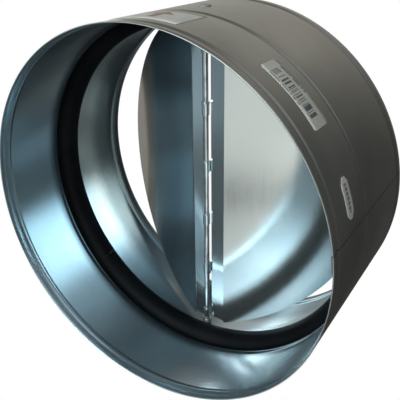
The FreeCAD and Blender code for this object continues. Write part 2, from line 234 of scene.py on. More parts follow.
class Shader(Tree):
    """Builds the nodes of a material or of the world."""

    def __init__(self, tree: bpy.types.NodeTree) -> None:
        """Start from an empty tree."""
        super().__init__(tree)
        tree.nodes.clear()

    def place(self) -> Sock:
        """Give the point in the object's own coordinates."""
        return self.sock("ShaderNodeTexCoord", "Object")

    def stretched(self, scale: Point3) -> Sock:
        """Give the point with each of its coordinates scaled."""
        return self.sock("ShaderNodeMapping", values={"Vector": self.place(), "Scale": scale})

    def axes(self, source: Optional[Sock] = None) -> tuple[Sock, Sock, Sock]:
        """Split a vector, or else the point, into its three numbers."""
        node = self.node("ShaderNodeSeparateXYZ", values={0: source or self.place()})
        return tuple(Sock(self, output) for output in node.outputs)

    def noise(self, scale: float, detail: float, vector: Optional[Sock] = None) -> Sock:
        """Give a cloudy pattern between 0 and 1, at a vector or else at the point."""
        values = {"Vector": vector or self.place(), "Scale": scale, "Detail": detail}
        return self.sock("ShaderNodeTexNoise", values=values)

    def mix(self, factor: SocketValue, first: SocketValue, second: SocketValue) -> Sock:
        """Mix two colours.

        Args:
            factor: the second colour's share.
            first: the first colour.
            second: the second colour.

        Returns:
            The mixed colour.
        """
        node = self.node("ShaderNodeMix", {"data_type": "RGBA"})
        inputs = {socket.identifier: socket for socket in node.inputs}
        for name, given in (("Factor_Float", factor), ("A_Color", first), ("B_Color", second)):
            self.plug(inputs[name], given)
        outputs = {socket.identifier: socket for socket in node.outputs}
        return Sock(self, outputs["Result_Color"])

    def bump(
        self, height: Sock, strength: float, distance: float, below: Optional[Sock] = None
    ) -> Sock:
        """Turn a height into a normal.

        Args:
            height: the pattern that rises and falls.
            strength: how strongly it shows.
            distance: how high it rises.
            below: the normal that it lies on, if it isn't the bare surface.

        Returns:
            The normal.
        """
        values: Values = {"Height": height, "Strength": strength, "Distance": distance}
        if below is not None:
            values["Normal"] = below
        return self.sock("ShaderNodeBump", values=values)

    def surface(self, **values: SocketValue) -> None:
        """End a material in a Principled shader.

        Args:
            values: values or links for its sockets; underscores in the names stand for spaces.
        """
        named = {name.replace("_", " "): given for name, given in values.items()}
        principled = self.sock("ShaderNodeBsdfPrincipled", values=named)
        self.node("ShaderNodeOutputMaterial", values={"Surface": principled})


def colour(red: float, green: float, blue: float) -> Colour:
    """Give an opaque colour."""
    return (red, green, blue, 1.0)


WHITE = colour(1.0, 1.0, 1.0)


# Finishes


@dataclass(frozen=True)
class Finish:
    """A finish that can build its material."""

    name: str

    def paint(self, shader: Shader) -> None:
        """Fill in the material's nodes."""
        raise NotImplementedError

    def material(self) -> bpy.types.Material:
        """Build the material once, and give it again after that.

        The start of its name keeps it apart from the frame's plain materials, which are named
        after their slots.

        Returns:
            The material.
        """
        name = "finish_" + self.name
        made = bpy.data.materials.get(name)
        if made is None:
            made = bpy.data.materials.new(name)
            made.use_nodes = True
            self.paint(Shader(made.node_tree))
        return made


@dataclass(frozen=True)
class RolledSheet(Finish):
    """Galvanised sheet with faint rolling marks round the duct and a soft, cloudy bloom."""

    light: Colour = colour(0.50, 0.49, 0.445)
    dark: Colour = colour(0.40, 0.385, 0.345)
    stain: Colour = colour(0.47, 0.41, 0.37)
    stained: float = 0.45
    metal: float = 0.9
    roughness: float = 0.36
    streaks: float = 0.07
    blotches: float = 0.10
    waviness: float = 0.12
    grain: float = 0.05
    fine_stretch: Point3 = (0.12, 9.0, 0.12)
    coarse_stretch: Point3 = (0.4, 5.0, 0.4)

    def wear(self, shader: Shader, base: Sock) -> tuple[Sock, SocketValue]:
        """Leave the sheet clean; other sheets change this.

        Args:
            shader: the material's shader.
            base: the colour of the clean sheet.

        Returns:
            The worn colour, and how metallic it is.
        """
        return base, self.metal

    def paint(self, shader: Shader) -> None:
        """Fill in the nodes.

        Args:
            shader: the material's shader.
        """
        cloud = shader.noise(scale=16.0, detail=4.0)
        patch = shader.noise(scale=7.0, detail=2.0).ease(0.52, 0.72)
        fine = shader.noise(scale=60.0, detail=2.0, vector=shader.stretched(self.fine_stretch))
        coarse = shader.noise(scale=11.0, detail=3.0, vector=shader.stretched(self.coarse_stretch))
        base = shader.mix(cloud.ease(0.35, 0.7), self.dark, self.light)
        base = shader.mix(patch * self.stained, base, self.stain)
        base, metal = self.wear(shader, base)
        rough = self.roughness + (fine - NOISE_MIDDLE) * self.streaks
        rough = rough + (cloud - NOISE_MIDDLE) * self.blotches
        waves = shader.noise(scale=9.0, detail=1.5)
        normal = shader.bump(waves, strength=self.waviness, distance=4.0 * MM)
        marks = fine * 0.6 + coarse * 0.4
        normal = shader.bump(marks, strength=self.grain, distance=0.4 * MM, below=normal)
        shader.surface(Base_Color=base, Metallic=metal, Roughness=rough, Normal=normal)


@dataclass(frozen=True)
class SeamedSheet(RolledSheet):
    """The casing's outside, with a thin dark line where the lapped sheet ends."""

    seam: Colour = colour(0.03, 0.03, 0.03)
    seam_dark: float = 0.8
    seam_angle: float = 9.0
    seam_half: float = 0.15 * MM
    seam_soft: float = 0.45 * MM

    def wear(self, shader: Shader, base: Sock) -> tuple[Sock, SocketValue]:
        """Draw the seam, fading here and there into the bare sheet.

        Args:
            shader: the material's shader.
            base: the colour of the clean sheet.

        Returns:
            The worn colour, and how metallic it is.
        """
        across, _, up = shader.axes()
        turn = shader.maths("ARCTAN2", up, across) - math.radians(self.seam_angle)
        line = turn.band(0.0, self.seam_half / CASING_RADIUS, self.seam_soft / CASING_RADIUS)
        line = line * (0.6 + 0.4 * shader.noise(scale=70.0, detail=2.0).ease(0.35, 0.6))
        return shader.mix(line * self.seam_dark, base, self.seam), self.metal


@dataclass(frozen=True)
class BoreSheet(RolledSheet):
    """The casing's inside: smoother, its blue tint a painted reflection, with painted shade and a
    painted highlight.
    """

    # Painted reflection: these bluer tones stand in for the cool light that the bore reflects.
    light: Colour = colour(0.52, 0.61, 0.65)
    dark: Colour = colour(0.45, 0.55, 0.60)
    stain: Colour = colour(0.46, 0.56, 0.62)
    roughness: float = 0.22
    streaks: float = 0.05
    waviness: float = 0.08
    # Painted shade: the colour and place of a near-black band on the wall in front of the seal.
    glue: Colour = colour(0.02, 0.03, 0.035)
    seal_shade_share: float = 0.9
    seal_shade_place: float = 55.0 * MM
    seal_shade_half: float = 2.5 * MM
    seal_shade_soft: float = 9.0 * MM
    # Painted shade: the rear end of the bore, behind the blades, turns dark blue.
    rear: Colour = colour(0.10, 0.17, 0.21)
    rear_shade_share: float = 0.75
    rear_shade_start: float = 88.0 * MM
    rear_shade_end: float = 104.0 * MM
    # Painted highlight: a patch low in the mouth is made less metallic, so that it shows brighter.
    highlight_patch: float = 0.22
    highlight_patch_angle: float = -136.0
    highlight_patch_half: float = 7.0
    highlight_patch_soft: float = 24.0
    highlight_patch_start: float = 25.0 * MM
    highlight_patch_end: float = 60.0 * MM

    def wear(self, shader: Shader, base: Sock) -> tuple[Sock, SocketValue]:
        """Paint shade by the seal and at the rear end, and paint a highlight low in the mouth with
        less metal.

        Args:
            shader: the material's shader.
            base: the colour of the clean sheet.

        Returns:
            The worn colour, and how metallic it is.
        """
        across, depth, up = shader.axes()
        # Painted shade: darken the wall in front of the seal.
        seal_shaded = depth.band(self.seal_shade_place, self.seal_shade_half, self.seal_shade_soft) * self.seal_shade_share
        base = shader.mix(seal_shaded, base, self.glue)
        # Painted shade at the rear end of the bore.
        base = shader.mix(depth.ease(self.rear_shade_start, self.rear_shade_end) * self.rear_shade_share, base, self.rear)
        # Painted highlight: less metal in a patch low in the mouth.
        turn = shader.maths("ARCTAN2", up, across)
        highlit = turn.band(
            math.radians(self.highlight_patch_angle), math.radians(self.highlight_patch_half), math.radians(self.highlight_patch_soft))
        highlit = highlit * (1.0 - depth.ease(self.highlight_patch_start, self.highlight_patch_end)) * self.highlight_patch
        return base, self.metal - highlit


@dataclass(frozen=True)
class BladeSheet(Finish):
    """Bright blade sheet, cool in tone, with a fine grain along the pin and a rim of its own."""

    light: Colour = colour(0.68, 0.72, 0.71)
    dark: Colour = colour(0.60, 0.65, 0.65)
    rim: Colour = colour(0.68, 0.72, 0.71)
    rim_start: float = 62.0 * MM
    rim_end: float = 90.0 * MM
    metal: float = 0.95
    rim_metal: float = 0.95
    roughness: float = 0.15
    blotches: float = 0.10
    streaks: float = 0.05
    waviness: float = 0.10
    grain: float = 0.04
    grain_stretch: Point3 = (6.0, 6.0, 0.15)

    def paint(self, shader: Shader) -> None:
        """Fill in the nodes.

        Args:
            shader: the material's shader.
        """
        across = shader.axes()[0]
        cloud = shader.noise(scale=12.0, detail=3.0)
        grain = shader.noise(scale=90.0, detail=2.0, vector=shader.stretched(self.grain_stretch))
        base = shader.mix(cloud.ease(0.3, 0.7), self.dark, self.light)
        outward = abs(across).ease(self.rim_start, self.rim_end)
        base = shader.mix(outward, base, self.rim)
        metal = self.metal - outward * (self.metal - self.rim_metal)
        rough = self.roughness + (cloud - NOISE_MIDDLE) * self.blotches
        rough = rough + (grain - NOISE_MIDDLE) * self.streaks
        waves = shader.noise(scale=8.0, detail=1.0)
        normal = shader.bump(waves, strength=self.waviness, distance=4.0 * MM)
        normal = shader.bump(grain, strength=self.grain, distance=0.3 * MM, below=normal)
        shader.surface(Base_Color=base, Metallic=metal, Roughness=rough, Normal=normal)


@dataclass(frozen=True)
class BrightWire(Finish):
    """Drawn steel: the pin, springs, washers and rings."""

    light: Colour = colour(0.72, 0.74, 0.75)
    dull: Colour = colour(0.42, 0.43, 0.44)
    roughness: float = 0.2
    blotches: float = 0.2
    bright_over: float = 0.4

    def paint(self, shader: Shader) -> None:
        """Fill in the nodes.

        Args:
            shader: the material's shader.
        """
        cloud = shader.noise(scale=140.0, detail=2.0)
        base = shader.mix(cloud.ease(0.3, 0.75), self.light, self.dull)
        rough = self.roughness + (cloud - self.bright_over) * self.blotches
        shader.surface(Base_Color=base, Metallic=1.0, Roughness=rough)


@dataclass(frozen=True)
class SealRubber(Finish):
    """Black satin rubber with a faint bloom."""

    dark: Colour = colour(0.002, 0.002, 0.0025)
    bloom: Colour = colour(0.005, 0.006, 0.007)
    roughness: float = 0.55
    blotches: float = 0.2
    shine: float = 0.06

    def paint(self, shader: Shader) -> None:
        """Fill in the nodes.

        Args:
            shader: the material's shader.
        """
        cloud = shader.noise(scale=30.0, detail=4.0)
        skin = shader.noise(scale=420.0, detail=2.0)
        base = shader.mix(cloud.ease(0.3, 0.75), self.dark, self.bloom)
        rough = self.roughness + (cloud - NOISE_MIDDLE) * self.blotches
        normal = shader.bump(skin, strength=0.15, distance=0.2 * MM)
        shader.surface(
            Base_Color=base, Roughness=rough, Specular_IOR_Level=self.shine, Normal=normal)


@dataclass(frozen=True)
class Nylon(Finish):
    """Grey moulded nylon of the bushes."""

    dark: Colour = colour(0.24, 0.245, 0.24)
    light: Colour = colour(0.29, 0.295, 0.29)
    roughness: float = 0.5
    blotches: float = 0.2

    def paint(self, shader: Shader) -> None:
        """Fill in the nodes.

        Args:
            shader: the material's shader.
        """
        speck = shader.noise(scale=300.0, detail=2.0)
        base = shader.mix(speck, self.dark, self.light)
        rough = self.roughness + (speck - NOISE_MIDDLE) * self.blotches
        normal = shader.bump(speck, strength=0.1, distance=0.2 * MM)
        shader.surface(Base_Color=base, Roughness=rough, Normal=normal)


@dataclass(frozen=True)
class Sticker(Finish):
    """Paper sticker, slightly creased and soiled, with an optional print."""

    paper: Colour = colour(0.62, 0.57, 0.50)
    ink: Colour = colour(0.10, 0.10, 0.10)
    soiled: float = 0.82
    roughness: float = 0.45
    printed: Optional[Callable[[Sock, Sock], Sock]] = None

    def paint(self, shader: Shader) -> None:
        """Fill in the nodes.

        Args:
            shader: the material's shader.
        """
        across, along, _ = shader.axes(shader.sock("ShaderNodeTexCoord", "UV"))
        soil = shader.noise(scale=55.0, detail=4.0)
        dirty = colour(*(part * self.soiled for part in self.paper[:3]))
        base = shader.mix(soil.ease(0.35, 0.75), self.paper, dirty)
        if self.printed is not None:
            worn = shader.noise(scale=500.0, detail=2.0).ease(0.25, 0.5) * 0.25 + 0.75
            base = shader.mix(self.printed(across, along) * worn, base, self.ink)
        crease = shader.noise(scale=40.0, detail=2.0)
        normal = shader.bump(crease, strength=0.2, distance=0.6 * MM)
        shader.surface(Base_Color=base, Roughness=self.roughness + soil * 0.2, Normal=normal)


# Prints, in shares of a sticker's width and depth


BAR_CELLS = 104.0
MARK_CELLS = 40.0
BLOCK_CELLS = 9.0


def window(across: Sock, along: Sock, low: Point, high: Point) -> Sock:
    """Give 1 inside a rectangle of a sticker, between its low and its high corner."""
    wide = across.above(low[0]) * across.below(high[0])
    return wide * along.above(low[1]) * along.below(high[1])


def bars(across: Sock, along: Sock) -> Sock:
    """Print generic bars of uneven width, with rows of small blocks under and over them.

    Args:
        across: the place across the sticker.
        along: the place along it.

    Returns:
        How much ink lies there.
    """
    lines = (across * BAR_CELLS).floor().chance().above(0.50)
    lines = lines * window(across, along, (0.12, 0.22), (0.86, 0.66))
    marks = (across * MARK_CELLS).floor().chance().above(0.30)
    rows = window(across, along, (0.10, 0.06), (0.70, 0.14))
    rows = rows + window(across, along, (0.10, 0.80), (0.55, 0.90))
    return (lines + rows * marks * 0.7).least(1.0)


def arrow(across: Sock, along: Sock) -> Sock:
    """Print a plain arrow that points along the air flow.

    Args:
        across: the place across the sticker.
        along: the place along it.

    Returns:
        How much ink lies there.
    """
    shaft = window(across, along, (0.44, 0.22), (0.56, 0.62))
    half = (0.84 - along) * 0.75
    head = abs(across - 0.5).below(half) * along.above(0.56)
    return shaft.most(head)


def blocks(across: Sock, along: Sock) -> Sock:
    """Print a row of plain blocks, laid out as a size mark would be."""
    cells = (across * BLOCK_CELLS).fraction().above(0.22)
    return cells * window(across, along, (0.16, 0.34), (0.84, 0.68)) * 0.8


# Meshes


def link(name: str, data: Any) -> bpy.types.Object:
    """Put some data into the scene as an object.

    Args:
        name: the object's name.
        data: its mesh, camera or lamp.

    Returns:
        The object.
    """
    made = bpy.data.objects.new(name, data)
    bpy.context.scene.collection.objects.link(made)
    return made


def make_object(name: str, mesh: bpy.types.Mesh, finishes: Iterable[Finish]) -> bpy.types.Object:
    """Put a mesh into the scene with its materials.

    Args:
        name: the object's name.
        mesh: its mesh.
        finishes: its finishes, in the order of the faces' material numbers.

    Returns:
        The object.
    """
    piece = link(name, mesh)
    for finish in finishes:
        mesh.materials.append(finish.material())
    return piece


def bake_modifiers(piece: bpy.types.Object) -> None:
    """Turn a piece and its modifiers into a plain mesh.

    Args:
        piece: the object, which may have no modifier.
    """
    if not piece.modifiers:
        return
    graph = bpy.context.evaluated_depsgraph_get()
    mesh = bpy.data.meshes.new_from_object(piece.evaluated_get(graph), depsgraph=graph)
    piece.modifiers.clear()
    piece.data = mesh


def settle(piece: bpy.types.Object, body: str, slot: str, *nodes: str) -> None:
    """Apply a piece's modifiers, hang it on the body that it rides on, and hide the nodes that it
    replaces.

    Args:
        piece: the object.
        body: the body that it rides on.
        slot: its material slot, which is not used.
        nodes: the nodes that it replaces.
    """
    bake_modifiers(piece)
    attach(piece, body)
    if nodes:
        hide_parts(*nodes)
    log.info("%s: %d faces on %s", piece.name, len(piece.data.polygons), body)


def smooth(mesh: bpy.types.Mesh, sharp_over: float = 35.0) -> None:
    """Shade a mesh smoothly except over edges sharper than an angle in degrees."""
    mesh.polygons.foreach_set("use_smooth", [True] * len(mesh.polygons))
    mesh.set_sharp_from_angle(angle=math.radians(sharp_over))


def arc(centre: Point, radius: float, start: float, end: float, steps: int) -> list[Point]:
    """Give points on an arc.

    Args:
        centre: the arc's centre.
        radius: its radius.
        start: the angle of its first point, in degrees.
        end: the angle of its last point, in degrees.
        steps: how many steps lie between them.

    Returns:
        The points, in order.
    """
    points = []
    for step in range(steps + 1):
        angle = math.radians(start + (end - start) * step / steps)
        points.append((centre[0] + radius * math.cos(angle), centre[1] + radius * math.sin(angle)))
    return points


def join_rims(
    shape: bmesh.types.BMesh, first: list[bmesh.types.BMVert], second: list[bmesh.types.BMVert]
) -> list[bmesh.types.BMFace]:
    """Join two rims with a ring of quads.

    Args:
        shape: what the rims belong to.
        first: the corners of one rim.
        second: the corners of the other, in the same order.

    Returns:
        The quads, each named by the corner of the first rim at which it starts.
    """
    faces = []
    for here in range(len(first)):
        after = (here + 1) % len(first)
        faces.append(shape.faces.new((first[here], first[after], second[after], second[here])))
    return faces


def close_shape(name: str, shape: bmesh.types.BMesh) -> bpy.types.Mesh:
    """Turn a closed shape into a mesh whose faces point outwards, and free the shape.

    Args:
        name: the mesh's name.
        shape: the shape.

    Returns:
        The mesh.
    """
    bmesh.ops.recalc_face_normals(shape, faces=shape.faces)
    mesh = bpy.data.meshes.new(name)
    shape.to_mesh(mesh)
    shape.free()
    return mesh


def join_meshes(name: str, *parts: bpy.types.Mesh) -> bpy.types.Mesh:
    """Join meshes into one, and remove them.

    Args:
        name: the joined mesh's name.
        parts: the meshes, which no object uses.

    Returns:
        The joined mesh.
    """
    shape = bmesh.new()
    for part in parts:
        shape.from_mesh(part)
        bpy.data.meshes.remove(part)
    mesh = bpy.data.meshes.new(name)
    shape.to_mesh(mesh)
    shape.free()
    return mesh


def turned(
    name: str, profile: Sequence[Point], segments: int, start: float = 0.0, sweep: float = 360.0,
    material_of: Optional[Callable[[int], int]] = None,
) -> bpy.types.Mesh:
    """Turn a closed profile about the duct's axis.

    Args:
        name: the mesh's name.
        profile: (radius, depth) corners, in metres, going round the section.
        segments: steps round the turn.
        start: the angle of the first section, from +X towards +Z, in degrees.
        sweep: how far it turns; under 360 the ends are capped.
        material_of: gives the material number for a profile edge, if not 0.

    Returns:
        The mesh.
    """
    closed = sweep >= 360.0
    shape = bmesh.new()
    rows = []
    for step in range(segments if closed else segments + 1):
        angle = math.radians(start + sweep * step / segments)
        rows.append(
            [shape.verts.new((r * math.cos(angle), y, r * math.sin(angle))) for r, y in profile])
    for step in range(segments):
        faces = join_rims(shape, rows[step], rows[(step + 1) % len(rows)])
        if material_of is not None:
            for edge, face in enumerate(faces):
                face.material_index = material_of(edge)
    if not closed:
        shape.faces.new(rows[0])
        shape.faces.new(reversed(rows[-1]))
    return close_shape(name, shape)


class GeometryGroup(Tree):
    """Builds one Geometry Nodes group with named inputs."""

    def __init__(self, name: str) -> None:
        """Start a group that takes and gives a geometry.

        Args:
            name: the group's name.
        """
        super().__init__(bpy.data.node_groups.new(name, "GeometryNodeTree"))
        for way in ("OUTPUT", "INPUT"):
            self.tree.interface.new_socket("Geometry", in_out=way, socket_type="NodeSocketGeometry")
        self.start = self.node("NodeGroupInput")
        self.end = self.node("NodeGroupOutput")

    def given(self) -> Sock:
        """Give the object's own geometry."""
        return Sock(self, self.start.outputs["Geometry"])

    def ask(self, name: str, kind: str) -> Sock:
        """Add a named input, such as a Float, Int, Vector or Material, and give its socket."""
        self.tree.interface.new_socket(name, in_out="INPUT", socket_type="NodeSocket" + kind)
        return Sock(self, self.start.outputs[name])

    def vector(self, x: SocketValue = 0.0, y: SocketValue = 0.0, z: SocketValue = 0.0) -> Sock:
        """Join three numbers into a vector."""
        return self.sock("ShaderNodeCombineXYZ", values={"X": x, "Y": y, "Z": z})

    def finish(self, geometry: Sock, material: Sock) -> bpy.types.NodeTree:
        """End the group: make any copies real, and give the result its material.

        Args:
            geometry: the result.
            material: its material.

        Returns:
            The group.
        """
        real = self.sock("GeometryNodeRealizeInstances", values={"Geometry": geometry})
        painted = self.sock("GeometryNodeSetMaterial", values={"Geometry": real, "Material": material})
        self.plug(self.end.inputs[0], painted)
        return self.tree


def row_group() -> bpy.types.NodeTree:
    """Repeat the object's own geometry in a straight row.

    Returns:
        The group, with the inputs Count, Step and Material.
    """
    group = GeometryGroup("row")
    count = group.ask("Count", "Int")
    step = group.ask("Step", "Vector")
    material = group.ask("Material", "Material")
    points = group.sock(
        "GeometryNodeMeshLine", settings={"mode": "OFFSET"}, values={"Count": count, "Offset": step})
    copies = group.sock(
        "GeometryNodeInstanceOnPoints", values={"Points": points, "Instance": group.given()})
    return group.finish(copies, material)


def coil_group() -> bpy.types.NodeTree:
    """Wind a torsion spring about Z: a coil, a leg along its tangent, and a leg straight up.

    Returns:
        The group, with inputs for the spring's sizes, for the coil's last point and Material.
    """
    group = GeometryGroup("coil")
    turns = group.ask("Turns", "Float")
    pitch = group.ask("Pitch", "Float")
    radius = group.ask("Coil Radius", "Float")
    wire = group.ask("Wire Radius", "Float")
    leg = group.ask("Leg", "Float")
    upright = group.ask("Upright Leg", "Float")
    last = group.ask("Last Point", "Vector")
    material = group.ask("Material", "Material")
    coil = group.sock("GeometryNodeCurveSpiral", values={
        "Resolution": 28, "Rotations": turns, "Start Radius": radius, "End Radius": radius,
        "Height": turns * pitch, "Reverse": True})
    tangent = group.sock("GeometryNodeCurvePrimitiveLine", values={
        "Start": group.vector(radius, leg * -1.0), "End": group.vector(radius)})
    top = group.sock("ShaderNodeVectorMath", settings={"operation": "ADD"}, values={
        0: last, 1: group.vector(0.0, 0.0, upright)})
    post = group.sock("GeometryNodeCurvePrimitiveLine", values={"Start": last, "End": top})
    path = group.sock("GeometryNodeJoinGeometry", values={"Geometry": [tangent, coil, post]})
    ring = group.sock(
        "GeometryNodeCurvePrimitiveCircle", values={"Resolution": 10, "Radius": wire})
    skin = group.sock("GeometryNodeCurveToMesh", values={
        "Curve": path, "Profile Curve": ring, "Fill Caps": True})
    return group.finish(skin, material)


def run_group(piece: bpy.types.Object, group: bpy.types.NodeTree, **inputs: Any) -> None:
    """Run a group on a piece, and keep the result as its plain mesh.

    Args:
        piece: the object.
        group: the Geometry Nodes group.
        inputs: values for the group's inputs; underscores in the names stand for spaces.
    """
    modifier = piece.modifiers.new(group.name, "NODES")
    modifier.node_group = group
    names = {
        item.name: item.identifier
        for item in group.interface.items_tree
        if item.in_out == "INPUT"
    }
    for name, given in inputs.items():
        modifier[names[name.replace("_", " ")]] = given
    bake_modifiers(piece)


# The casing


@dataclass
class Casing:
    """The rolled tube with its swaged beads, lapped seam and rubber seal."""

    outer: float = CASING_RADIUS
    sheet: float = 0.7 * MM
    length: float = 128.0 * MM
    lip: float = 0.18 * MM
    bead_places: tuple[float, ...] = (7.2 * MM, 52.9 * MM, 120.8 * MM)
    bead_depth: float = 0.8 * MM
    bead_half: float = 3.2 * MM
    bead_steps: int = 18
    segments: int = 288
    lap_start: float = 4.4
    lap_end: float = 9.0
    lap_segments: int = 8
    seal_place: float = 65.3 * MM
    seal_half: float = 8.5 * MM
    seal_height: float = 8.2 * MM
    seal_glue: float = 0.1 * MM
    seal_joint: float = -138.4
    seal_gap: float = 0.03
    seal_steps: int = 28
    seal_segments: int = 240
    outside: Finish = SeamedSheet("galvanised_outside")
    inside: Finish = BoreSheet("galvanised_inside")
    rubber: Finish = SealRubber("seal_rubber")

    def wall_line(self, radius: float) -> list[Point]:
        """Draw one face of the wall, with its beads.

        Args:
            radius: the radius of the face between the beads.

        Returns:
            Its (radius, depth) corners, from the mouth rearwards.
        """
        line = [(radius, self.lip)]
        for place in self.bead_places:
            for step in range(self.bead_steps + 1):
                share = 2 * step / self.bead_steps - 1
                fall = self.bead_depth * (1 + math.cos(math.pi * share)) / 2
                line.append((radius - fall, place + share * self.bead_half))
        line.append((radius, self.length - self.lip))
        return line

    def build_wall(self) -> None:
        """Build the tube as one closed shell, with its own finish inside and out, and its lap."""
        bore = self.outer - self.sheet
        outside, inside = self.wall_line(self.outer), self.wall_line(bore)
        front = [(bore + self.lip, 0.0), (self.outer - self.lip, 0.0)]
        rear = [(self.outer - self.lip, self.length), (bore + self.lip, self.length)]
        first_inside = len(front) + len(outside) + len(rear) - 1
        tube = turned("tube", front + outside + rear + inside[::-1], self.segments,
                      material_of=lambda edge: 1 if edge >= first_inside else 0)
        inner_lap = [(radius - self.sheet, depth) for radius, depth in inside]
        lap = turned("lap", inside + inner_lap[::-1], self.lap_segments,
                     self.lap_start, self.lap_end - self.lap_start, material_of=lambda edge: 1)
        mesh = join_meshes("casing_wall", tube, lap)
        smooth(mesh, sharp_over=50.0)
        piece = make_object("casing_wall", mesh, (self.outside, self.inside))
        settle(piece, "root", "galvanised_sheet", "casing")

    def build_seal(self) -> None:
        """Build the half-round rubber strip, with its ends a hair apart at the joint."""
        seat = self.outer - self.sheet - self.seal_glue
        radius = (self.seal_half ** 2 + self.seal_height ** 2) / (2 * self.seal_height)
        centre = seat - self.seal_height + radius
        half = math.degrees(math.asin(self.seal_half / radius))
        if self.seal_height > radius:
            half = 180.0 - half
        profile = arc((centre, self.seal_place), radius, 180.0 + half, 180.0 - half, self.seal_steps)
        mesh = turned("seal_strip", profile, self.seal_segments,
                      self.seal_joint + self.seal_gap, 360.0 - 2 * self.seal_gap)
        smooth(mesh, sharp_over=40.0)
        piece = make_object("seal_strip", mesh, (self.rubber,))
        settle(piece, "root", "seal_rubber", "seal_ring")

    def build(self) -> None:
        """Build everything that belongs to the casing."""
        self.build_wall()
        self.build_seal()


# Blades and hinge


